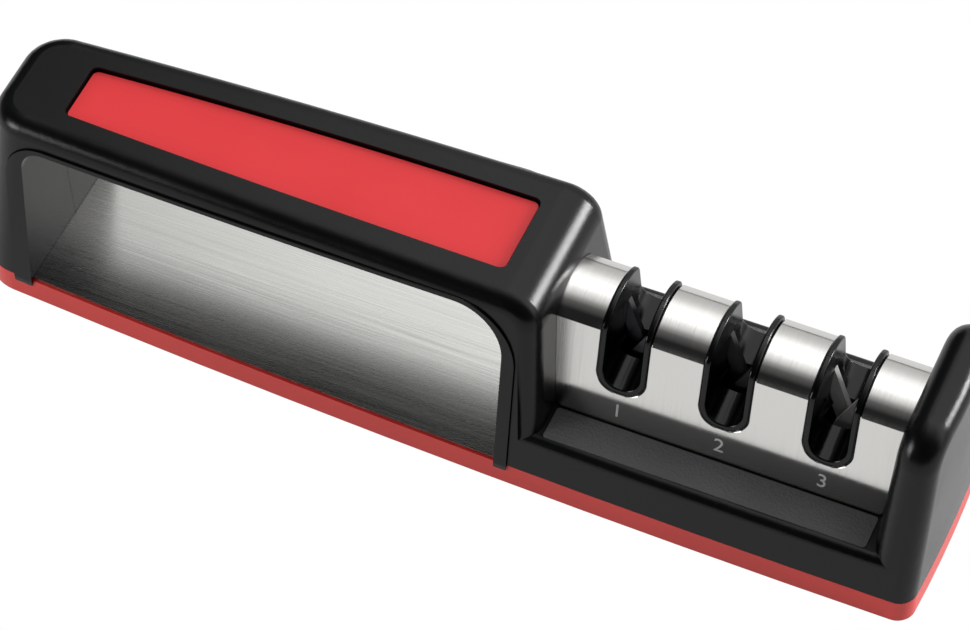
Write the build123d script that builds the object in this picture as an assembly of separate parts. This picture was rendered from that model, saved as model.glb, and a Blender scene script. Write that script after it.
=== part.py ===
from build123d import *

import os
from math import cos, radians, sin, tan

# Pull-through knife sharpener: a casing with a finger opening under its handle, and at the
# right a steel cover with three slots, each with two sprung sharpening sticks that cross.
# Millimetres.  X runs along the body towards the slots, -Y is the front, +Z is up.
# The origin is on the table, under the middle of the body.

# ---- Body outline in plan, at the joint between base and casing
LENGTH = 213.5
HALF_WIDTH_LEFT = 19.0
HALF_WIDTH_MID = 23.95
HALF_WIDTH_RIGHT = 24.95
LEFT_CORNER_R = 9.0
RIGHT_CORNER_R = 4.0
END_BULGE = 1.0
SIDE_DRAFT_LEFT = 7.9
SIDE_DRAFT_MID = 9.0
SIDE_DRAFT_RIGHT = 9.6
LEFT_DRAFT = 4.9
RIGHT_DRAFT = 0.4

# ---- Heights
FOOT_PROUD = 0.3
BASE_TOP = 6.5
TOP_CROWN = 50.35
CROWN_DROP_LEFT = 1.65
CROWN_DROP_RIGHT = 1.05
TOP_LEFT = TOP_CROWN - CROWN_DROP_LEFT
TOP_RIGHT = TOP_CROWN - CROWN_DROP_RIGHT
CROWN_X = 4.5
DECK_Z = 16.3

# ---- Lengths along the body, from the left end to the right end
LEFT_LEG = 14.05
RIGHT_LEG = 8.7
COVER_SPAN = 71.5
TOWER_SPAN = 10.85
NOTCH_RIGHT = LENGTH / 2 - TOWER_SPAN
NOTCH_LEFT = NOTCH_RIGHT - COVER_SPAN
OPEN_LEFT = -LENGTH / 2 + LEFT_LEG
OPEN_RIGHT = NOTCH_LEFT - RIGHT_LEG
NOTCH_LEFT_DRAFT = 4.0
NOTCH_RIGHT_DRAFT = 2.1

# ---- Walls, joints between mouldings and rounded edges
WALL = 2.2
HANDLE_WALL = 3.6
SEAM = 0.1
FIT_GAP = 0.15
EDGE_R = 4.0
BLOCK_TOP_R = 8.0
TOWER_SHOULDER_R = 9.0
TOWER_R = 4.6
DECK_R = 2.0
BASE_EDGE_R = 0.3

# ---- Finger opening and its lining
ROOF_LEFT = 5.4
ROOF_RIGHT = 3.45
OPEN_TOP_LEFT = TOP_LEFT - ROOF_LEFT
OPEN_TOP_RIGHT = TOP_CROWN - ROOF_RIGHT
OPEN_LEFT_DRAFT = 2.2
OPEN_R_LEFT = 5.0
OPEN_R_RIGHT = 11.0
RIM_LEFT = 4.2
RIM_RIGHT = 2.8
RIM_TOP = 0.9
RIM_PROUD = 0.5
RIM_OVERHANG = 1.2
LINER_WALL = 2.0
BELLY_DEPTH = 9.0
BELLY_TOP_GAP = 0.25
BELLY_TOP = TOP_CROWN - HANDLE_WALL - BELLY_TOP_GAP
BELLY_TOP_INSET = 8.55
BELLY_BOTTOM_INSET = 15.95
BELLY_R = 6.0
CAP_INSET = 10.75
CAP_HALF = HALF_WIDTH_MID - CAP_INSET

# ---- Red inlay on the handle
INLAY_LEFT_GAP = 5.4
INLAY_RIGHT_GAP = 4.1
INLAY_HALF_LEFT = 6.6
INLAY_HALF_MID = 8.55
INLAY_HALF_RIGHT = 9.25
INLAY_CORNER_R = 1.3
INLAY_SUNK = 1.0
INLAY_THICK = 1.2
INLAY_GROOVE = 0.45

# ---- Steel plate on the floor of the finger opening
PLATE_THICK = 0.6
PLATE_INSET = 0.5
PLATE_TUCK = 2.0

# ---- Base tray, feet and screws
TRAY_FLOOR = 2.2
TRAY_WALL = 2.2
RIB_THICK = 1.6
RIB_INSET = 13.95
FOOT_R = 5.0
FOOT_SUNK = 1.0
FOOT_EDGE_R = 0.15
LEFT_FOOT_INSETS = (16.25, 8.0)
RIGHT_FOOT_INSETS = (21.25, 13.0)
FOOT_PLACES = ((-LENGTH / 2 + LEFT_FOOT_INSETS[0], HALF_WIDTH_LEFT - LEFT_FOOT_INSETS[1]),
               (LENGTH / 2 - RIGHT_FOOT_INSETS[0], HALF_WIDTH_RIGHT - RIGHT_FOOT_INSETS[1]))
SCREW_R = 1.2
SCREW_HEAD_R = 2.4
SCREW_HEAD_H = 1.4
SCREW_HEAD_SUNK = 0.2
SCREW_GRIP = 0.05
SCREW_BITE = 5.0
SCREW_TIP_ROOM = 1.0
SCREW_REACH = BASE_TOP + SCREW_BITE
BOSS_R = 2.6

# ---- Steel slot cover
CREASE_Y = 8.6
CREASE_Z = 39.7
COVER_RISE = 3.4
COVER_TOP = CREASE_Z + COVER_RISE
FACE_DRAFT = 10.6
COVER_THICK = 0.6
COVER_LAP = 2.6
COVER_TUCK = 2.5
COVER_FOOT_Y = CREASE_Y + CREASE_Z * tan(radians(FACE_DRAFT))
CUT_EDGE_R = 0.3

# ---- Base screws: one pair in the left leg, two pairs under the ledges
LEG_SCREW_INSETS = (4.65, 11.0)
LEDGE_SCREW_GAP = 1.17
LEDGE_SCREW_LEFT_INSET = 5.1
LEDGE_SCREW_RIGHT_INSET = 20.5
LEDGE_SCREW_Y = COVER_FOOT_Y + LEDGE_SCREW_GAP
SCREW_PLACES = ((-LENGTH / 2 + LEG_SCREW_INSETS[0], HALF_WIDTH_LEFT - LEG_SCREW_INSETS[1]),
                (NOTCH_LEFT + LEDGE_SCREW_LEFT_INSET, LEDGE_SCREW_Y),
                (NOTCH_RIGHT - LEDGE_SCREW_RIGHT_INSET, LEDGE_SCREW_Y))

# ---- Slots
SLOT_COUNT = 3
SLOT_FIRST = 13.2
SLOT_PITCH = 22.0
SLOT_X = tuple(NOTCH_LEFT + SLOT_FIRST + SLOT_PITCH * i for i in range(SLOT_COUNT))
SLOT_HALF = 3.95
LIP_WALL = 1.25
LIP_PROUD = 1.0
LIP_CREASE_R = 3.0
LIP_EDGE_R = 0.4
SLOT_DEPTH = 14.9
SLOT_FRONT_BOTTOM = CREASE_Z - SLOT_DEPTH
SLOT_RISE = 0.2
SLOT_CORNER_R = 4.2
CUT_GAP = 0.15
FLOOR_HOLE_FRONT = -3.6
FLOOR_HOLE_REAR = 3.0

# ---- Slot guides (the black core under the cover)
SKIN_THICK = 1.5
GUIDE_END_GAP = 0.5
GUIDE_END_WALL = 1.6
VEE_DROP = 10.4
VEE_Z = CREASE_Z - VEE_DROP
PIN_WEB_FRONT = -4.4
PIN_WEB_THICK = 1.5
PIN_WEB_BOTTOM = VEE_Z + 0.7
TIE_DROP = 5.3
TIE_Z = DECK_Z - TIE_DROP
TIE_X = tuple((a + b) / 2 for a, b in zip(SLOT_X, SLOT_X[1:]))

# ---- Sharpening sticks and their sprung arms
VEE_HALF_ANGLE = 29.0
STICK_TILT = 17.7
STICK_WIDTH = 3.3
STICK_THICK = 1.8
STICK_TIP = 3.0
STICK_TOP = 10.6
PLANE_Y = {"left": 1.55, "right": -0.75}
PIVOT_REACH = 11.8
PIVOT_OFFSET = 1.7
ARM_WIDTH = 4.6
ARM_THICK = 3.0
ARM_START = 6.6
ARM_WALL_GAP = 0.35
HUB_R = 1.6
HUB_LENGTH = 2.6
PIN_R = 0.8
PIN_RUNNING_GAP = 0.04
PIN_PRESS_GAP = 0.02
PIN_SKIN_BITE = 0.5
POCKET_GAP = 0.02
SWING = 8.0
SWING_GAP = 0.25
SPRING_R = 1.75
SPRING_BORE_R = 1.0
SPRING_LENGTH = 2.2

# ---- Textured pads on the ledges
PAD_THICK = 1.0
PAD_PROUD = 0.2
PAD_EDGE_R = 0.18
PAD_LEFT_GAP = 0.7
PAD_RIGHT_GAP = 1.4
PAD_INNER_GAP = 0.4
PAD_OUTER = HALF_WIDTH_RIGHT - 3.5
PAD_CORNER_R = 0.8

# Sizes well past the body, for cutting tools
FAR = 140.0
HIGH = 70.0
SIDES = {"front": -1, "rear": 1}
HANDS = {"left": -1, "right": 1}
STAGES = ("coarse", "medium", "fine")


# ---------------------------------------------------------------- shared shapes

def outline(z, inset=0.0, round_right=True):
    """The body's plan shape at height z, shrunk by inset, as a face."""
    rise = z - BASE_TOP
    left = -LENGTH / 2 + rise * tan(radians(LEFT_DRAFT)) + inset
    right = LENGTH / 2 - END_BULGE - rise * tan(radians(RIGHT_DRAFT)) - inset
    a = HALF_WIDTH_LEFT - rise * tan(radians(SIDE_DRAFT_LEFT)) - inset
    b = HALF_WIDTH_MID - rise * tan(radians(SIDE_DRAFT_MID)) - inset
    c = HALF_WIDTH_RIGHT - rise * tan(radians(SIDE_DRAFT_RIGHT)) - inset
    face = make_face([
        Line((left, a), (left, -a)),
        ThreePointArc((left, -a), (0, -b), (right, -c)),
        ThreePointArc((right, -c), (right + END_BULGE, 0), (right, c)),
        ThreePointArc((right, c), (0, b), (left, a)),
    ])
    corners = face.vertices().sort_by(Axis.X)
    face = fillet(corners[:2], LEFT_CORNER_R - inset / 2)
    if round_right:
        face = fillet(face.vertices().sort_by(Axis.X)[-2:], RIGHT_CORNER_R - inset / 2)
    return Pos(0, 0, z) * face


def drafted(inset=0.0, round_right=True):
    """The bell-shaped block that the whole casing is cut from."""
    low, high = (outline(z, inset, round_right) for z in (BASE_TOP, TOP_CROWN + WALL))
    return loft([low, high], ruled=True)


def prism(face):
    """An outline drawn in X and Z, run through the body from front to rear."""
    return extrude(Plane.XZ * face, FAR / 2, both=True)


def bar(face, start, end):
    """A section drawn in Y and Z, run along X from start to end."""
    return Pos(start, 0, 0) * extrude(Plane.YZ * face, end - start)


def block(x0, x1, y0, y1, z0, z1):
    """A box between two corners."""
    return Pos((x0 + x1) / 2, (y0 + y1) / 2, (z0 + z1) / 2) * Box(x1 - x0, y1 - y0, z1 - z0)


def under_crown(drop=0.0):
    """Everything below the slightly arched top line, lowered by drop."""
    end = LENGTH / 2 + END_BULGE
    start = -end
    face = make_face([
        Line((start, 0), (start, TOP_LEFT - drop)),
        ThreePointArc((start, TOP_LEFT - drop), (CROWN_X, TOP_CROWN - drop), (end, TOP_RIGHT - drop)),
        Line((end, TOP_RIGHT - drop), (end, 0)),
        Line((end, 0), (start, 0)),
    ])
    return prism(face)


def left_of_notch(margin=0.0):
    """All that lies left of the handle block's leaning end wall."""
    low, high = (NOTCH_LEFT - margin - (z - DECK_Z) * tan(radians(NOTCH_LEFT_DRAFT)) for z in (0, HIGH))
    return prism(make_face(Polyline((-FAR, 0), (low, 0), (high, HIGH), (-FAR, HIGH), close=True)))


def right_of_notch(margin=0.0):
    """All that lies right of the tower's leaning wall."""
    low, high = (NOTCH_RIGHT + margin + (z - DECK_Z) * tan(radians(NOTCH_RIGHT_DRAFT)) for z in (0, HIGH))
    return prism(make_face(Polyline((FAR, 0), (low, 0), (high, HIGH), (FAR, HIGH), close=True)))


def notch(margin=0.0):
    """The gap between handle block and tower, down to the deck, grown by margin."""
    above_deck = block(-FAR, FAR, -FAR / 2, FAR / 2, DECK_Z - margin, HIGH)
    return (above_deck - left_of_notch(margin)) - right_of_notch(margin)


def opening_outline(left=0.0, right=0.0, top=0.0, bottom=0.0):
    """The finger opening seen from the front, grown by the given amounts."""
    low = BASE_TOP - bottom
    lean = tan(radians(OPEN_LEFT_DRAFT))
    face = make_face(Polyline(
        (OPEN_LEFT - left - lean * (low - BASE_TOP), low),
        (OPEN_LEFT - left - lean * (OPEN_TOP_LEFT + top - BASE_TOP), OPEN_TOP_LEFT + top),
        (OPEN_RIGHT + right, OPEN_TOP_RIGHT + top),
        (OPEN_RIGHT + right, low), close=True))
    corners = face.vertices().sort_by(Axis.Y)[-2:].sort_by(Axis.X)
    face = fillet([corners[0]], OPEN_R_LEFT + left)
    corners = face.vertices().sort_by(Axis.X)[-2:].sort_by(Axis.Y)
    return fillet([corners[-1]], OPEN_R_RIGHT + right)


def face_y(z):
    """How far the slot cover's front and rear faces stand from the mid-plane at height z."""
    return CREASE_Y + (CREASE_Z - z) * tan(radians(FACE_DRAFT))


def arch(grow=0.0, bottom=0.0):
    """The slot cover's section: a low arch, a crease and a steep straight face each side."""
    foot = face_y(bottom)
    face = make_face([
        ThreePointArc((-CREASE_Y, CREASE_Z), (0, COVER_TOP), (CREASE_Y, CREASE_Z)),
        Line((CREASE_Y, CREASE_Z), (foot, bottom)),
        Line((foot, bottom), (-foot, bottom)),
        Line((-foot, bottom), (-CREASE_Y, CREASE_Z)),
    ])
    return offset(face, grow, kind=Kind.INTERSECTION) if grow else face


def slot_prism(slot_x, grow):
    """A U-shaped channel through the cover whose floor rises towards the rear."""
    half = SLOT_HALF + LIP_WALL + grow
    start_y = -FAR / 4
    bottom = SLOT_FRONT_BOTTOM - grow + (start_y + face_y(SLOT_FRONT_BOTTOM)) * SLOT_RISE
    face = make_face(Polyline((-half, bottom), (half, bottom), (half, HIGH), (-half, HIGH), close=True))
    face = fillet(face.vertices().sort_by(Axis.Y)[:2], SLOT_CORNER_R + grow / 2)
    start = Plane(origin=(slot_x, start_y, 0), x_dir=(1, 0, 0), z_dir=(0, -1, 0))
    return extrude(start * face, FAR / 2, dir=(0, 1, SLOT_RISE))


def half_space(side, gap=SEAM / 2):
    """All that lies on the front or rear side of the mid-plane."""
    y0, y1 = sorted((SIDES[side] * gap, SIDES[side] * FAR))
    return block(-FAR, FAR, y0, y1, -HIGH, HIGH)


def upright(x, y, z0, z1, radius):
    """A cylinder standing between two heights."""
    return Pos(x, y, (z0 + z1) / 2) * Cylinder(radius, z1 - z0)


def across(x, z, y0, y1, radius):
    """A cylinder lying along Y between two depths."""
    return Pos(x, (y0 + y1) / 2, z) * Rot(90, 0, 0) * Cylinder(radius, y1 - y0)


def mirrored_places(places):
    """Each place given as (x, y), at the front and at the rear."""
    return [(x, s * y) for x, y in places for s in (-1, 1)]


# ---------------------------------------------------------------- casing

def handle_block():
    """The handle with its two legs, up to the slot cover."""
    solid = (drafted(round_right=False) & under_crown()) & left_of_notch()
    top_right = solid.edges().filter_by(Axis.Y).group_by(Axis.Z)[-1].sort_by(Axis.X)[-1]
    solid = fillet([top_right], BLOCK_TOP_R)

    def outer(edge):
        box = edge.bounding_box()
        low_left = edge.center().X < 0 and box.min.Z < BASE_TOP + 1
        across_body = abs(edge.center().Y) < 1 and edge.center().X > 0
        return box.max.Z > DECK_Z + 1 and not low_left and not across_body
    return fillet([e for e in solid.edges() if outer(e)], EDGE_R)


def tower():
    """The rounded end tower at the right: its shoulders first, then the rim of each wall."""
    solid = (drafted(round_right=False) & under_crown()) & right_of_notch()
    shoulders = [e for e in solid.edges() if e.bounding_box().min.Z > DECK_Z and abs(e.center().Y) > 1]
    solid = fillet(shoulders, TOWER_SHOULDER_R)
    middle = (NOTCH_RIGHT + LENGTH / 2) / 2

    def rim(edge):
        box = edge.bounding_box()
        return box.max.Z > DECK_Z and box.size.X < TOWER_SPAN / 2
    inner = [e for e in solid.edges() if rim(e) and e.center().X < middle]
    solid = fillet(inner, TOWER_R)
    outer = [e for e in solid.edges() if rim(e) and e.center().X > LENGTH / 2 - TOWER_SPAN / 4]
    return fillet(outer, RIGHT_CORNER_R)


def deck():
    """The low ledge that joins block and tower, with rolled front and rear edges."""
    end = NOTCH_RIGHT + TOWER_R + SEAM
    solid = drafted(round_right=False) & block(NOTCH_LEFT - EDGE_R, end, -FAR, FAR, 0, DECK_Z)
    tops = solid.edges().group_by(Axis.Z)[-1]
    return fillet([e for e in tops if abs(e.center().Y) > CREASE_Y], DECK_R)


def cavity():
    """The hollow inside the casing."""
    top = under_crown(HANDLE_WALL)
    return (drafted(WALL) & top) - notch(WALL)


def rim_window():
    """The hole in the casing that the grip liner's rim fills."""
    hole = prism(opening_outline(RIM_LEFT + FIT_GAP, RIM_RIGHT + FIT_GAP, RIM_TOP + FIT_GAP, BASE_TOP))
    cap = block(-FAR, FAR, -CAP_HALF, CAP_HALF, 0, HIGH) - under_crown(HANDLE_WALL)
    return hole - cap


def inlay_outline(grow=0.0):
    """The tapered inlay seen from above."""
    a, b, c = (w + grow for w in (INLAY_HALF_LEFT, INLAY_HALF_MID, INLAY_HALF_RIGHT))
    x0 = OPEN_LEFT + INLAY_LEFT_GAP - grow
    x1 = OPEN_RIGHT - INLAY_RIGHT_GAP + grow
    mid = (x0 + x1) / 2
    face = make_face([
        Line((x0, a), (x0, -a)), ThreePointArc((x0, -a), (mid, -b), (x1, -c)),
        Line((x1, -c), (x1, c)), ThreePointArc((x1, c), (mid, b), (x0, a)),
    ])
    return extrude(fillet(face.vertices(), INLAY_CORNER_R + grow), HIGH)


def pad_outline(side, grow=0.0):
    """A ledge pad seen from above."""
    x0, x1 = NOTCH_LEFT + PAD_LEFT_GAP - grow, NOTCH_RIGHT - PAD_RIGHT_GAP + grow
    y0, y1 = face_y(DECK_Z) + PAD_INNER_GAP - grow, PAD_OUTER + grow
    face = Pos((x0 + x1) / 2, SIDES[side] * (y0 + y1) / 2) * Rectangle(x1 - x0, y1 - y0)
    return fillet(face.vertices(), PAD_CORNER_R + grow)


def screw_bosses():
    """Hollow posts inside the casing that the base screws cut into."""
    posts = []
    for x, y in mirrored_places(SCREW_PLACES):
        post = upright(x, y, BASE_TOP + SEAM, DECK_Z - WALL / 2, BOSS_R)
        posts.append(post - upright(x, y, 0, SCREW_REACH + SCREW_TIP_ROOM, SCREW_R + SCREW_GRIP))
    return posts


def casing():
    shell = handle_block() + deck() + tower()
    shell = shell - cavity()
    shell = shell - rim_window()
    lip = BASE_TOP + SEAM
    shell = shell - block(-FAR, FAR, -FAR, FAR, 0, lip)
    for post in screw_bosses():
        shell = shell + (post & drafted(WALL / 2))
    under_cover = arch(FIT_GAP)
    shell = shell - bar(under_cover, NOTCH_LEFT, NOTCH_RIGHT)
    groove = under_cover - arch(-COVER_THICK - FIT_GAP)
    shell = shell - bar(groove, NOTCH_LEFT - COVER_LAP - FIT_GAP, NOTCH_RIGHT + COVER_LAP + FIT_GAP)
    recess = inlay_outline(INLAY_GROOVE) - under_crown(INLAY_SUNK + INLAY_THICK)
    shell = shell - recess
    for side in SIDES:
        pad = extrude(pad_outline(side, SEAM), PAD_THICK)
        shell = shell - Pos(0, 0, DECK_Z + PAD_PROUD - PAD_THICK) * pad
    return shell


def handle_inlay():
    return (inlay_outline() & under_crown(INLAY_SUNK)) - under_crown(INLAY_SUNK + INLAY_THICK)


def deck_pad(side):
    pad = extrude(pad_outline(side), PAD_THICK)
    pad = fillet(pad.edges().group_by(Axis.Z)[-1], PAD_EDGE_R)
    return Pos(0, 0, DECK_Z + PAD_PROUD - PAD_THICK) * pad


# ---------------------------------------------------------------- finger opening

def belly(inset=0.0):
    """Underside of the handle: a rounded trough shape, shrunk by inset."""
    top_half = HALF_WIDTH_MID - BELLY_TOP_INSET
    low_half = HALF_WIDTH_MID - BELLY_BOTTOM_INSET
    low = BELLY_TOP - BELLY_DEPTH
    face = make_face(Polyline(
        (-top_half, BELLY_TOP), (-low_half, low), (low_half, low),
        (top_half, BELLY_TOP), (top_half, HIGH), (-top_half, HIGH), close=True))
    face = fillet(face.vertices().sort_by(Axis.Y)[:2], BELLY_R)
    if inset:
        face = offset(face, -inset, kind=Kind.INTERSECTION)
    return bar(face, OPEN_LEFT - RIM_LEFT + inset, OPEN_RIGHT + RIM_RIGHT - inset)


def liner_rim():
    """Ring round the opening that fills the casing's window and stands a little proud."""
    grown = prism(opening_outline(RIM_LEFT, RIM_RIGHT, RIM_TOP, RIM_OVERHANG))
    ring = grown - prism(opening_outline(bottom=BASE_TOP))
    nib_cut = extrude(outline(BASE_TOP, -FIT_GAP), FAR / 2, both=True)
    nib_cut = nib_cut & block(-FAR, FAR, -FAR, FAR, 0, BASE_TOP + PLATE_THICK + FIT_GAP)
    ring = (ring & drafted_down(-RIM_PROUD)) - nib_cut
    cap = block(-FAR, FAR, -CAP_HALF - FIT_GAP, CAP_HALF + FIT_GAP, 0, HIGH)
    return ring - (cap - under_crown(HANDLE_WALL + FIT_GAP))


def drafted_down(inset):
    """The bell-shaped block with its foot drawn straight down past the base joint."""
    foot = Pos(0, 0, -BASE_TOP) * extrude(outline(BASE_TOP, inset), BASE_TOP)
    return drafted(inset) + foot


def grip_liner(side):
    trough = belly() & prism(opening_outline(LINER_WALL, LINER_WALL, HIGH))
    trough = (trough & under_crown(HANDLE_WALL + FIT_GAP)) & drafted(WALL + FIT_GAP)
    trough = trough & block(-FAR, FAR, -CAP_HALF, CAP_HALF, 0, HIGH)
    solid = liner_rim() + trough
    solid = solid - belly(LINER_WALL)
    behind_wall = block(OPEN_LEFT - RIM_LEFT, OPEN_LEFT - 2 * LINER_WALL + SEAM, -FAR, FAR, 0, HIGH)
    solid = solid - (behind_wall & drafted(2 * WALL))
    return solid & half_space(side)


def floor_plate():
    """Brushed steel sheet between the legs, lying on the base tray's edge and ribs."""
    sheet = extrude(outline(BASE_TOP, PLATE_INSET), PLATE_THICK)
    return sheet & block(OPEN_LEFT - PLATE_TUCK, OPEN_RIGHT + PLATE_TUCK, -FAR, FAR, 0, HIGH)


# ---------------------------------------------------------------- base

def base_tray():
    height = BASE_TOP - FOOT_PROUD
    tray = Pos(0, 0, -height) * extrude(outline(BASE_TOP), height)
    tray = fillet(tray.edges().group_by(Axis.Z)[0], BASE_EDGE_R)
    hollow_height = height - TRAY_FLOOR
    tray = tray - Pos(0, 0, -hollow_height) * extrude(outline(BASE_TOP, TRAY_WALL), hollow_height)
    for side in SIDES.values():
        y = side * (HALF_WIDTH_MID - RIB_INSET)
        tray = tray + block(OPEN_LEFT, OPEN_RIGHT, y - RIB_THICK / 2, y + RIB_THICK / 2,
                            FOOT_PROUD + TRAY_FLOOR / 2, BASE_TOP)
    for x, y in mirrored_places(FOOT_PLACES):
        tray = tray - upright(x, y, 0, FOOT_PROUD + FOOT_SUNK, FOOT_R + SEAM)
    for x, y in mirrored_places(SCREW_PLACES):
        tray = tray - upright(x, y, 0, HIGH, SCREW_R + FIT_GAP)
        tray = tray - upright(x, y, 0, FOOT_PROUD + SCREW_HEAD_H, SCREW_HEAD_R + FIT_GAP)
    return tray


def non_slip_feet():
    feet = []
    for x, y in mirrored_places(FOOT_PLACES):
        foot = upright(x, y, 0, FOOT_PROUD + FOOT_SUNK, FOOT_R)
        feet.append(fillet(foot.edges().group_by(Axis.Z)[0], FOOT_EDGE_R))
    return feet


def base_screws():
    screws = []
    for x, y in mirrored_places(SCREW_PLACES):
        top = FOOT_PROUD + SCREW_HEAD_H
        head = upright(x, y, FOOT_PROUD + SCREW_HEAD_SUNK, top, SCREW_HEAD_R)
        screws.append(head + upright(x, y, top, SCREW_REACH, SCREW_R))
    return screws


# ---------------------------------------------------------------- slot cover and guides

def slot_cover():
    bottom = DECK_Z - COVER_TUCK
    sheet = arch() - arch(-COVER_THICK)
    cover = bar(sheet, NOTCH_LEFT - COVER_LAP, NOTCH_RIGHT + COVER_LAP)
    cover = cover - block(-FAR, FAR, -FAR, FAR, -HIGH, bottom)
    for slot_x in SLOT_X:
        cover = cover - slot_prism(slot_x, CUT_GAP)
    below_skin = bar(arch(-COVER_THICK / 4), -FAR, FAR)

    def stamped(edge):
        middle = edge @ 0.5
        near_slot = min(abs(middle.X - x) for x in SLOT_X) < SLOT_HALF + LIP_WALL + 2 * CUT_GAP
        return near_slot and not below_skin.is_inside(middle)
    return fillet([e for e in cover.edges() if stamped(e)], CUT_EDGE_R)


def pivot(slot_x, hand):
    """Where an arm turns: x, y of its plane there, and z."""
    side = HANDS[hand]
    half = radians(VEE_HALF_ANGLE)
    offset = STICK_WIDTH / 2 + PIVOT_OFFSET
    u = offset * cos(half) + PIVOT_REACH * sin(half)
    w = PIVOT_REACH * cos(half) - offset * sin(half)
    tilt = radians(STICK_TILT)
    return slot_x + side * u, PLANE_Y[hand] + w * sin(tilt), VEE_Z + w * cos(tilt)


def stick_frame(slot_x, hand):
    """Local frame of a stick: x along it towards the pivot, z across its thickness."""
    side = HANDS[hand]
    tilt = radians(STICK_TILT)
    half = radians(VEE_HALF_ANGLE)
    up = Vector(0, sin(tilt), cos(tilt))
    out = Vector(side, 0, 0)
    along = out * sin(half) + up * cos(half)
    start = Vector(slot_x, PLANE_Y[hand], VEE_Z)
    start = start + (out * cos(half) - up * sin(half)) * (STICK_WIDTH / 2)
    return Plane(origin=start, x_dir=along, z_dir=up.cross(out))


def stick_shape(slot_x, hand, grow=0.0, top=STICK_TOP):
    width = STICK_WIDTH + 2 * grow
    depth = STICK_THICK + 2 * grow
    body = Pos((top - STICK_TIP) / 2, 0, 0) * Box(top + STICK_TIP, width, depth)
    tip = Pos(-STICK_TIP, 0, 0) * Cylinder(width / 2, depth)
    return stick_frame(slot_x, hand).location * (body + tip)


def arm_blank(slot_x, hand, grow=0.0):
    """Outer form of an arm: a hub round the pin and a bar beside the slot channel."""
    x, y, z = pivot(slot_x, hand)
    length = PIVOT_REACH - ARM_START
    bar_box = Box(length + 2 * grow, ARM_WIDTH + 2 * grow, ARM_THICK + 2 * grow)
    grip = stick_frame(slot_x, hand).location * (Pos(ARM_START + length / 2, PIVOT_OFFSET / 2, 0) * bar_box)
    wall_x = SLOT_HALF + LIP_WALL + ARM_WALL_GAP - grow
    x0, x1 = sorted((slot_x + HANDS[hand] * wall_x, slot_x + HANDS[hand] * FAR))
    grip = grip & block(x0, x1, -FAR, FAR, 0, z + grow)
    return grip + across(x, z, y - HUB_LENGTH / 2 - grow, y + HUB_LENGTH / 2 + grow, HUB_R + grow)


def arm(slot_x, hand):
    """Moulded arm with a pocket for the stick's end and a running fit on its pin."""
    x, y, z = pivot(slot_x, hand)
    body = arm_blank(slot_x, hand) - stick_shape(slot_x, hand, POCKET_GAP, STICK_TOP + POCKET_GAP)
    return body - across(x, z, -FAR, FAR, PIN_R + PIN_RUNNING_GAP)


def swing_room(slot_x, hand):
    """The clear space that a stick and its arm need over their whole swing."""
    x, y, z = pivot(slot_x, hand)
    room = []
    for angle in (0, SWING / 2, SWING):
        turn = Pos(x, y, z) * Rot(0, -HANDS[hand] * angle, 0) * Pos(-x, -y, -z)
        room.append(turn * stick_shape(slot_x, hand, SWING_GAP))
        room.append(turn * arm_blank(slot_x, hand, SWING_GAP))
    return room


def slot_lip(slot_x):
    """The U-shaped wall of one slot, raised over the cover and rounded along its rim."""
    section = Pos(0, LIP_PROUD) * arch()
    section = fillet(section.vertices().sort_by(Axis.Y)[-2:], LIP_CREASE_R)
    lip = (slot_prism(slot_x, 0) & bar(section, -FAR, FAR)) - slot_prism(slot_x, -LIP_WALL)
    below_skin = bar(offset(section, -LIP_EDGE_R, kind=Kind.INTERSECTION), -FAR, FAR)
    return fillet([e for e in lip.edges() if not below_skin.is_inside(e @ 0.5)], LIP_EDGE_R)


def guide_core():
    """Skin under the cover with the three slot channels, both halves still in one."""
    inner_gap = -COVER_THICK - FIT_GAP
    floor = FOOT_PROUD + TRAY_FLOOR + SEAM
    x0, x1 = NOTCH_LEFT + GUIDE_END_GAP, NOTCH_RIGHT - GUIDE_END_GAP
    outer, inner = arch(inner_gap), arch(inner_gap - SKIN_THICK)
    core = bar(outer, x0, x1) - bar(inner, x0 + GUIDE_END_WALL, x1 - GUIDE_END_WALL)
    room_inside = bar(inner, x0, x1)
    web_y = (PIN_WEB_FRONT, PIN_WEB_FRONT + PIN_WEB_THICK)
    web = block(x0, x1, web_y[0], web_y[1], PIN_WEB_BOTTOM, HIGH) & room_inside
    core = core + web
    for slot_x in SLOT_X:
        core = (core - slot_prism(slot_x, -LIP_WALL)) + slot_lip(slot_x)
        half = SLOT_HALF
        core = core - block(slot_x - half, slot_x + half, FLOOR_HOLE_FRONT, FLOOR_HOLE_REAR, 0, VEE_Z)
    return core - block(-FAR, FAR, -FAR, FAR, -HIGH, floor)


def slot_guide(side):
    core = guide_core() & half_space(side)
    for slot_x in SLOT_X:
        for hand in HANDS:
            x, y, z = pivot(slot_x, hand)
            core = core - across(x, z, PIN_WEB_FRONT - PIN_R, pin_rear_end(), PIN_R + PIN_PRESS_GAP)
            for room in swing_room(slot_x, hand):
                core = core - room
    for x in TIE_X:
        y0, y1 = sorted((SIDES[side] * SEAM / 2, SIDES[side] * (face_y(TIE_Z) - SKIN_THICK)))
        core = core + across(x, TIE_Z, y0, y1, BOSS_R)
        core = core - across(x, TIE_Z, -FAR, FAR, SCREW_R + SCREW_GRIP)
    return core


def pin_rear_end():
    """Pins stop inside the guide's rear skin."""
    return CREASE_Y - COVER_THICK - FIT_GAP - PIN_SKIN_BITE


def each_pivot():
    return [pivot(slot_x, hand) for slot_x in SLOT_X for hand in HANDS]


def arm_pins():
    return [across(x, z, PIN_WEB_FRONT, pin_rear_end(), PIN_R) for x, y, z in each_pivot()]


def arm_springs():
    """Torsion springs, close-wound, as plain tubes round the pins."""
    start = PIN_WEB_FRONT + PIN_WEB_THICK + FIT_GAP
    springs = []
    for x, y, z in each_pivot():
        coil = across(x, z, start, start + SPRING_LENGTH, SPRING_R)
        springs.append(coil - across(x, z, -FAR, FAR, SPRING_BORE_R))
    return springs


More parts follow.
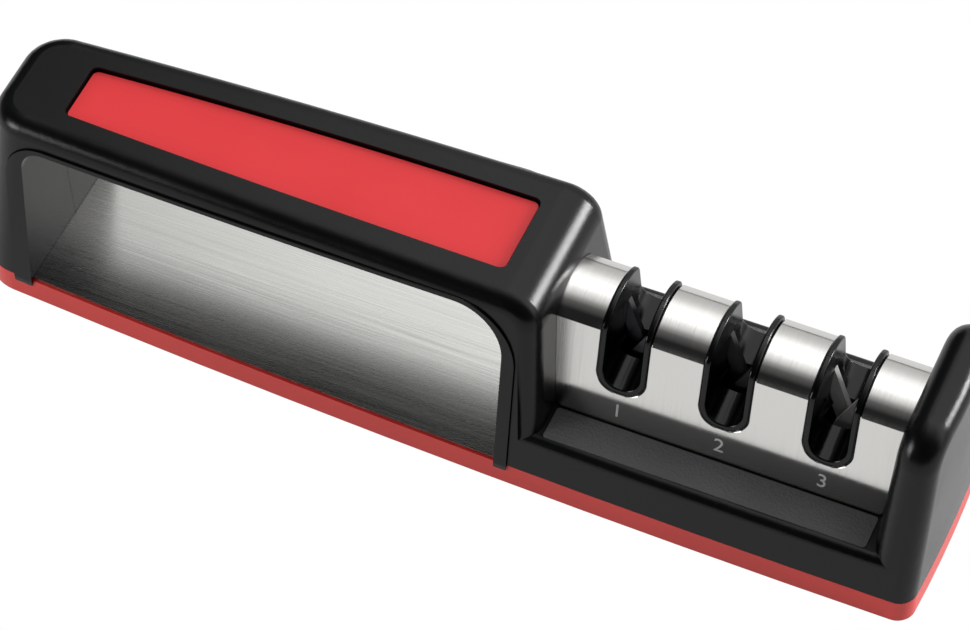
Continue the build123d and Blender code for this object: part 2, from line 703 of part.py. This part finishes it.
def guide_screws():
    """Screws along Y that draw the two guide halves together."""
    reach = face_y(TIE_Z)
    return [across(x, TIE_Z, -reach + 2 * SKIN_THICK, reach, SCREW_R) +
            across(x, TIE_Z, reach, reach + SCREW_HEAD_H, SCREW_HEAD_R) for x in TIE_X]


# ---------------------------------------------------------------- write one file per node

def build():
    nodes = {
        "casing": casing(), "handle_inlay": handle_inlay(), "floor_plate": floor_plate(),
        "base_tray": base_tray(), "non_slip_feet": non_slip_feet(), "base_screws": base_screws(),
        "slot_cover": slot_cover(), "guide_screws": guide_screws(),
        "arm_pins": arm_pins(), "arm_springs": arm_springs(),
    }
    for side in SIDES:
        nodes["grip_liner_" + side] = grip_liner(side)
        nodes["slot_guide_" + side] = slot_guide(side)
        nodes["deck_pad_" + side] = deck_pad(side)
    for stage, slot_x in zip(STAGES, SLOT_X):
        for hand in HANDS:
            nodes[stage + "_arm_" + hand] = arm(slot_x, hand)
            nodes[stage + "_stick_" + hand] = stick_shape(slot_x, hand)
    return nodes


os.makedirs("parts", exist_ok=True)
for name, shape in build().items():
    solids = shape if isinstance(shape, list) else shape.solids()
    export_step(Compound(children=list(solids)) if len(solids) > 1 else solids[0], f"parts/{name}.step")
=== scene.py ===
from math import cos, radians, sin

import bmesh
import bpy
from mathutils import Matrix, Vector


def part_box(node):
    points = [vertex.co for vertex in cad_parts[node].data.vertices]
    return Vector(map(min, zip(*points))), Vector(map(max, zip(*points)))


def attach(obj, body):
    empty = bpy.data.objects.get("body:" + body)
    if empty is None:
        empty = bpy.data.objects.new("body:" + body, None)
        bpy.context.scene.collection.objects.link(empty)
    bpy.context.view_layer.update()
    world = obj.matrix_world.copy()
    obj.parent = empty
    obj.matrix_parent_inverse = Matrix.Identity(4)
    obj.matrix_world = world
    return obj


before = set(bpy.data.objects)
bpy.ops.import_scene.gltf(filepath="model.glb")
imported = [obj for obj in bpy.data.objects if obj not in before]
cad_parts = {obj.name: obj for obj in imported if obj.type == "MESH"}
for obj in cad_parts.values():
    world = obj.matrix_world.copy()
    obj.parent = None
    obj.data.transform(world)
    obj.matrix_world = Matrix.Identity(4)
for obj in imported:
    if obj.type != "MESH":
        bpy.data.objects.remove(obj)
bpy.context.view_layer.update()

# ------------------------------------------------------------ casing and grip lining
# Injection-moulded black ABS from a finely spark-eroded mould.  Its satin skin has a grain of
# 0.2 mm, and the gloss drifts a little over 29 mm.  A pattern's scale is the count of its
# grains or lines in one millimetre, times per_mm because the scene is in metres.


def linear(code):
    """An sRGB hex colour as the linear RGBA that a shader takes."""
    values = [int(code[i:i + 2], 16) / 255 for i in (1, 3, 5)]
    return [v / 12.92 if v <= 0.04045 else ((v + 0.055) / 1.055) ** 2.4 for v in values] + [1]


def add(tree, kind, settings=None, **links):
    """Adds a node with its settings; each link names an input (or iN) and an output or a value."""
    node = tree.nodes.new("ShaderNode" + kind)
    for key, value in (settings or {}).items():
        setattr(node, key, value)
    for key, value in links.items():
        socket = node.inputs[int(key[1:])] if key[1:].isdigit() else node.inputs[key.replace("_", " ")]
        if isinstance(value, bpy.types.NodeSocket):
            tree.links.new(value, socket)
        else:
            socket.default_value = value
    return node


def finish(name, **sockets):
    """A new material with one Principled shader; returns it with its tree and shader."""
    made = bpy.data.materials.new(name)
    made.use_nodes = True
    shader = made.node_tree.nodes["Principled BSDF"]
    for key, value in sockets.items():
        shader.inputs[key.replace("_", " ")].default_value = value
    return made, made.node_tree, shader


def dress(made, *nodes):
    """Gives CAD nodes one finish."""
    for name in nodes:
        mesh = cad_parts[name].data
        mesh.materials.clear()
        mesh.materials.append(made)


per_mm = 1000.0
satin_abs, tree, shader = finish("satin_black_abs", Base_Color=linear("#0B0C0D"), IOR=1.46,
                                 Specular_IOR_Level=0.30)
place = add(tree, "TexCoord").outputs["Object"]
grain = add(tree, "TexNoise", Vector=place, Scale=5 * per_mm, Detail=2.0, Roughness=0.6)
drift = add(tree, "TexNoise", Vector=place, Scale=0.034 * per_mm, Detail=3.0, Roughness=0.55)
gloss = add(tree, "MapRange", Value=drift.outputs["Fac"], From_Min=0.3, From_Max=0.7,
            To_Min=0.20, To_Max=0.27)
bump = add(tree, "Bump", Strength=0.20, Distance=0.0001, Height=grain.outputs["Fac"])
tree.links.new(gloss.outputs["Result"], shader.inputs["Roughness"])
tree.links.new(bump.outputs["Normal"], shader.inputs["Normal"])
dress(satin_abs, "casing", "grip_liner_front", "grip_liner_rear")

# ------------------------------------------------------------ inlay in the handle
# Coral-red soft-touch strip, moulded and pressed into its recess.  It has an even matte skin
# with a 0.17 mm grain and faint clouds 22 mm wide.
coral_strip, tree, shader = finish("coral_soft_touch", IOR=1.42, Roughness=0.46)
place = add(tree, "TexCoord").outputs["Object"]
cloud = add(tree, "TexNoise", Vector=place, Scale=0.045 * per_mm, Detail=4.0)
tint = add(tree, "ValToRGB", Fac=cloud.outputs["Fac"])
tint.color_ramp.elements[0].position = 0.3
tint.color_ramp.elements[0].color = linear("#F0353A")
tint.color_ramp.elements[1].position = 0.7
tint.color_ramp.elements[1].color = linear("#F53A3F")
grain = add(tree, "TexNoise", Vector=place, Scale=6 * per_mm, Detail=2.0)
bump = add(tree, "Bump", Strength=0.06, Distance=0.0001, Height=grain.outputs["Fac"])
tree.links.new(tint.outputs["Color"], shader.inputs["Base Color"])
tree.links.new(bump.outputs["Normal"], shader.inputs["Normal"])
dress(coral_strip, "handle_inlay")

# ------------------------------------------------------------ floor sheet
# Stainless steel sheet between the legs, brushed lengthwise and clamped by the casing.  Its
# hairlines are drawn 0.17 mm wide, coarser than real ones, which wouldn't show.
sheet_steel, tree, shader = finish("steel_brushed_lengthwise", Metallic=1.0, Base_Color=linear("#BEBEBB"))
place = add(tree, "TexCoord").outputs["Object"]
long = add(tree, "Mapping", Vector=place, Scale=(0.03 * per_mm, 6 * per_mm, 6 * per_mm))
hair = add(tree, "TexNoise", Vector=long.outputs["Vector"], Scale=1.0, Detail=4.0, Roughness=0.6)
gloss = add(tree, "MapRange", Value=hair.outputs["Fac"], From_Min=0.3, From_Max=0.7,
            To_Min=0.20, To_Max=0.32)
bump = add(tree, "Bump", Strength=0.06, Distance=0.00003, Height=hair.outputs["Fac"])
tree.links.new(gloss.outputs["Result"], shader.inputs["Roughness"])
tree.links.new(bump.outputs["Normal"], shader.inputs["Normal"])
dress(sheet_steel, "floor_plate")

# ------------------------------------------------------------ base tray
# Deep red ABS tray that closes the underside, moulded with a light satin.  It looks darker
# than the inlay because its upright faces see little of the light.
red_abs, tree, shader = finish("deep_red_abs", IOR=1.45, Roughness=0.30)
place = add(tree, "TexCoord").outputs["Object"]
cloud = add(tree, "TexNoise", Vector=place, Scale=0.03 * per_mm, Detail=4.0)
tint = add(tree, "ValToRGB", Fac=cloud.outputs["Fac"])
tint.color_ramp.elements[0].position = 0.3
tint.color_ramp.elements[0].color = linear("#DA2A22")
tint.color_ramp.elements[1].position = 0.7
tint.color_ramp.elements[1].color = linear("#E23027")
grain = add(tree, "TexNoise", Vector=place, Scale=5 * per_mm, Detail=2.0)
bump = add(tree, "Bump", Strength=0.04, Distance=0.0001, Height=grain.outputs["Fac"])
tree.links.new(tint.outputs["Color"], shader.inputs["Base Color"])
tree.links.new(bump.outputs["Normal"], shader.inputs["Normal"])
dress(red_abs, "base_tray")

# ------------------------------------------------------------ feet
# Black rubber discs glued into round seats under the base, dull, with flecks of 0.55 mm.
rubber, tree, shader = finish("black_rubber", Base_Color=linear("#1A1A1A"), Roughness=0.75, IOR=1.52)
place = add(tree, "TexCoord").outputs["Object"]
fleck = add(tree, "TexNoise", Vector=place, Scale=1.8 * per_mm, Detail=4.0)
bump = add(tree, "Bump", Strength=0.3, Distance=0.0001, Height=fleck.outputs["Fac"])
tree.links.new(bump.outputs["Normal"], shader.inputs["Normal"])
dress(rubber, "non_slip_feet")

# ------------------------------------------------------------ screws, pins and springs
# Zinc-plated steel: self-cutting screws from below, screws through the guide, and the pins
# and springs of the sticks.  The plating is bright, with faint flecks of 0.4 mm.
zinc, tree, shader = finish("zinc_plated_steel", Metallic=1.0, Base_Color=linear("#B9BABC"), Roughness=0.3)
place = add(tree, "TexCoord").outputs["Object"]
fleck = add(tree, "TexNoise", Vector=place, Scale=2.5 * per_mm, Detail=3.0)
bump = add(tree, "Bump", Strength=0.15, Distance=0.00005, Height=fleck.outputs["Fac"])
tree.links.new(bump.outputs["Normal"], shader.inputs["Normal"])
dress(zinc, "base_screws", "guide_screws", "arm_pins", "arm_springs")

# ------------------------------------------------------------ pads on the ledges
# Thin moulded strips, glued into recesses.  Their leather-like grain has cells of about
# 0.67 mm with 0.28 mm pits between, so they scatter light and look greyer than the casing.
leather_grain, tree, shader = finish("leather_grained_pad", Base_Color=linear("#585859"), IOR=1.48)
place = add(tree, "TexCoord").outputs["Object"]
cells = add(tree, "TexVoronoi", {"feature": "SMOOTH_F1"}, Vector=place, Scale=1.5 * per_mm, Smoothness=0.5)
pits = add(tree, "TexNoise", Vector=place, Scale=3.6 * per_mm, Detail=3.0)
relief = add(tree, "Math", {"operation": "ADD"}, i0=cells.outputs["Distance"], i1=pits.outputs["Fac"])
gloss = add(tree, "MapRange", Value=pits.outputs["Fac"], From_Min=0.3, From_Max=0.7,
            To_Min=0.34, To_Max=0.55)
bump = add(tree, "Bump", Strength=0.6, Distance=0.0002, Height=relief.outputs["Value"])
tree.links.new(gloss.outputs["Result"], shader.inputs["Roughness"])
tree.links.new(bump.outputs["Normal"], shader.inputs["Normal"])
dress(leather_grain, "deck_pad_front", "deck_pad_rear")

# ------------------------------------------------------------ slot cover
# Stainless steel sheet, bent over the slots and brushed over the bend.  The hairlines, drawn
# 0.15 mm wide so that they show, smear what it reflects along the body.
cover_steel, tree, shader = finish("steel_brushed_over_bend", Metallic=1.0, Base_Color=linear("#E8E7E4"),
                                   Anisotropic=1.0, Anisotropic_Rotation=0.25)
place = add(tree, "TexCoord").outputs["Object"]
over = add(tree, "Mapping", Vector=place, Scale=(6.5 * per_mm, 0.06 * per_mm, 0.06 * per_mm))
hair = add(tree, "TexNoise", Vector=over.outputs["Vector"], Scale=1.0, Detail=4.0, Roughness=0.6)
gloss = add(tree, "MapRange", Value=hair.outputs["Fac"], From_Min=0.3, From_Max=0.7,
            To_Min=0.13, To_Max=0.23)
bump = add(tree, "Bump", Strength=0.05, Distance=0.00003, Height=hair.outputs["Fac"])
round_bend = add(tree, "Tangent", {"direction_type": "RADIAL", "axis": "X"})
tree.links.new(gloss.outputs["Result"], shader.inputs["Roughness"])
tree.links.new(bump.outputs["Normal"], shader.inputs["Normal"])
tree.links.new(round_bend.outputs["Tangent"], shader.inputs["Tangent"])
dress(cover_steel, "slot_cover")

# ------------------------------------------------------------ slot guide and stick arms
# The core under the cover and the arms are ABS from a polished mould, glossier than the
# casing; the lips that line the slots show it.
polished_abs, tree, shader = finish("polished_black_abs", Base_Color=linear("#060708"), IOR=1.38)
place = add(tree, "TexCoord").outputs["Object"]
drift = add(tree, "TexNoise", Vector=place, Scale=0.12 * per_mm, Detail=3.0)
gloss = add(tree, "MapRange", Value=drift.outputs["Fac"], From_Min=0.3, From_Max=0.7,
            To_Min=0.14, To_Max=0.24)
tree.links.new(gloss.outputs["Result"], shader.inputs["Roughness"])
dress(polished_abs, "slot_guide_front", "slot_guide_rear")
stages = ("coarse", "medium", "fine")
for stage in stages:
    dress(polished_abs, stage + "_arm_left", stage + "_arm_right")

# ------------------------------------------------------------ sharpening sticks
# Ground tungsten carbide, diamond-coated steel and grey ceramic.  Each pair has its own grit,
# from 0.38 mm grinding marks to a ceramic grain of 0.24 mm.
for stage, colour, metal, rough, grains in (("coarse", "#4A4A4D", 1.0, 0.30, 2.6),
                                            ("medium", "#3A3A3D", 0.8, 0.45, 5.2),
                                            ("fine", "#A4A4A2", 0.0, 0.50, 4.2)):
    ground, tree, shader = finish(stage + "_stick", Base_Color=linear(colour), Metallic=metal,
                                  Roughness=rough)
    place = add(tree, "TexCoord").outputs["Object"]
    grit = add(tree, "TexNoise", Vector=place, Scale=grains * per_mm, Detail=3.0)
    bump = add(tree, "Bump", Strength=0.25, Distance=0.00008, Height=grit.outputs["Fac"])
    tree.links.new(bump.outputs["Normal"], shader.inputs["Normal"])
    dress(ground, stage + "_stick_left", stage + "_stick_right")

# ------------------------------------------------------------ stage numbers
# Plain figures 1 to 3, printed in light grey ink on the cover's front face under each slot.
# The ink is a raised film of 0.02 mm that follows the face's lean.
figure_height = 0.0034
capital_share = 0.7
film = 0.00002
face_lean = radians(10.6)
crease_y, crease_z = 0.0086, 0.0397
figure_z = 0.0187
face_y = -(crease_y + (crease_z - figure_z) * sin(face_lean) / cos(face_lean)) - film
upward = Vector((0, sin(face_lean), cos(face_lean)))
outward = Vector((0, -cos(face_lean), sin(face_lean)))
turn = Matrix((Vector((1, 0, 0)), upward, outward)).transposed().to_4x4()
printing_ink, tree, shader = finish("grey_printing_ink", IOR=1.45, Roughness=0.5)
place = add(tree, "TexCoord").outputs["Object"]
cover = add(tree, "TexNoise", Vector=place, Scale=3 * per_mm, Detail=2.0)
tint = add(tree, "ValToRGB", Fac=cover.outputs["Fac"])
tint.color_ramp.elements[0].color = linear("#B9BAB8")
tint.color_ramp.elements[1].color = linear("#D2D3D1")
tree.links.new(tint.outputs["Color"], shader.inputs["Base Color"])
for number, stage in enumerate(stages, 1):
    slot_x = (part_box(stage + "_stick_left")[0][0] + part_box(stage + "_stick_right")[1][0]) / 2
    outline = bpy.data.curves.new("figure_outline", "FONT")
    outline.body = str(number)
    outline.size = figure_height / capital_share
    outline.extrude = film
    outline.align_x = "CENTER"
    shape = bpy.data.objects.new("figure_shape", outline)
    figure = bpy.data.objects.new("stage_figure_" + stage, bpy.data.meshes.new_from_object(shape))
    bpy.data.objects.remove(shape)
    figure.data.transform(Matrix.Translation((slot_x, face_y, figure_z)) @ turn)
    figure.data.materials.clear()
    figure.data.materials.append(printing_ink)
    bpy.context.scene.collection.objects.link(figure)
    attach(figure, "sharpener_body")

# ------------------------------------------------------------ floor
# A plain white studio table, seen as even white.  Steel and plastic reflect it as a pale
# ground of the same strength everywhere, and it throws the studio's light up diffusely.
mesh = bpy.data.meshes.new("studio_floor")
sheet = bmesh.new()
bmesh.ops.create_grid(sheet, x_segments=8, y_segments=8, size=3.0)
sheet.to_mesh(mesh)
sheet.free()
floor = bpy.data.objects.new("studio_floor", mesh)
bpy.context.scene.collection.objects.link(floor)
white_table, tree, shader = finish("white_table", Base_Color=linear("#F6F6F6"), Roughness=0.9,
                                   Specular_IOR_Level=0.0)
rays = add(tree, "LightPath")
seen_or_mirrored = add(tree, "Math", {"operation": "MAXIMUM"}, i0=rays.outputs["Is Camera Ray"],
                       i1=rays.outputs["Is Glossy Ray"])
whiteness = add(tree, "MapRange", Value=rays.outputs["Is Camera Ray"], To_Min=0.76, To_Max=1.0)
ground = add(tree, "Emission", Color=(1, 1, 1, 1), Strength=whiteness.outputs["Result"])
seen = add(tree, "MixShader", Fac=seen_or_mirrored.outputs["Value"], i1=shader.outputs["BSDF"],
           i2=ground.outputs["Emission"])
tree.links.new(seen.outputs["Shader"], tree.nodes["Material Output"].inputs["Surface"])
mesh.materials.append(white_table)

# ------------------------------------------------------------ studio light
# One big soft light bends over the object from behind, like a roof of diffusing cloth: it is
# brightest high up at the rear, and falls off to a pale back wall, to a dark room in front and
# to the left.  A narrow softbox stands low at the right rear and draws the streaks on edges,
# and a square one at the left front lifts the base.
world = bpy.data.worlds.new("studio")
bpy.context.scene.world = world
world.use_nodes = True
tree = world.node_tree
tree.nodes.clear()
way = add(tree, "SeparateXYZ", Vector=add(tree, "TexCoord").outputs["Generated"])
tip = add(tree, "Math", {"operation": "ARCTAN2"}, i0=way.outputs["Y"], i1=way.outputs["Z"])
round_roof = add(tree, "MapRange", Value=tip.outputs["Value"], From_Min=radians(-90), From_Max=radians(90))
roof = add(tree, "ValToRGB", Fac=round_roof.outputs["Result"])
roof_glow = 1.90
steps = ((-90, 0.02), (-60, 0.012), (-40, 0.01), (-31, 0.01), (-24, 0.04), (-16, 0.07), (-8, 0.21),
         (0, 0.46), (8, 0.64), (17, 0.88), (24, 1.0), (31, 0.96), (40, 0.74), (49, 0.64), (57, 0.49),
         (65, 0.40), (73, 0.345), (81, 0.31), (86.5, 0.29), (87.5, 0.05), (90, 0.05))
while len(roof.color_ramp.elements) < len(steps):
    roof.color_ramp.elements.new(0.5)
for stop, (tilt, glow) in zip(roof.color_ramp.elements, steps):
    stop.position = (tilt + 90) / 180
    stop.color = (glow, glow, glow, 1)
to_the_left = add(tree, "MapRange", {"interpolation_type": "SMOOTHSTEP"}, Value=way.outputs["X"],
                  From_Min=-0.43, From_Max=-0.30, To_Min=0.06, To_Max=1.0)
strength = add(tree, "Math", {"operation": "MULTIPLY"}, i0=to_the_left.outputs["Result"], i1=roof_glow)
studio = add(tree, "Background", Color=roof.outputs["Color"], Strength=strength.outputs["Value"])
backdrop = add(tree, "Background", Color=(1, 1, 1, 1), Strength=1.0)
rays = add(tree, "LightPath")
seen = add(tree, "MixShader", Fac=rays.outputs["Is Camera Ray"], i1=studio.outputs["Background"],
           i2=backdrop.outputs["Background"])
add(tree, "OutputWorld", Surface=seen.outputs["Shader"])
for name, wide, tall, power, spot in (("rear_softbox", 0.20, 0.42, 11.0, (0.94, 0.72, 0.37)),
                                      ("front_softbox", 0.25, 0.25, 1.9, (-0.50, -0.42, 0.22))):
    lamp = bpy.data.lights.new(name, "AREA")
    lamp.shape = "RECTANGLE"
    lamp.size, lamp.size_y, lamp.energy = wide, tall, power
    stand = bpy.data.objects.new(name, lamp)
    stand.location = spot
    stand.rotation_euler = Vector(spot).to_track_quat("Z", "Y").to_euler()
    bpy.context.scene.collection.objects.link(stand)

# ------------------------------------------------------------ camera
# Above the front, a little to the right, through a long lens.  Azimuth is measured from the
# front, elevation from the floor, and the roll tips the horizon.
lens = bpy.data.cameras.new("camera")
lens.sensor_fit = "HORIZONTAL"
lens.sensor_width = 36.0
lens.lens = 146.46
lens.clip_start = 0.01
azimuth, elevation, roll = radians(24.41), radians(52.0), radians(-0.92)
back = Vector((sin(azimuth) * cos(elevation), -cos(azimuth) * cos(elevation), sin(elevation)))
right = Vector((cos(azimuth), sin(azimuth), 0))
up = back.cross(right)
turned_right = right * cos(roll) + up * sin(roll)
turned_up = up * cos(roll) - right * sin(roll)
camera = bpy.data.objects.new("camera", lens)
turn = Matrix((turned_right, turned_up, back)).transposed().to_4x4()
camera.matrix_world = Matrix.Translation((0.20948, -0.45457, 0.65874)) @ turn
bpy.context.scene.collection.objects.link(camera)
bpy.context.scene.camera = camera
bpy.context.scene.view_settings.view_transform = "Standard"
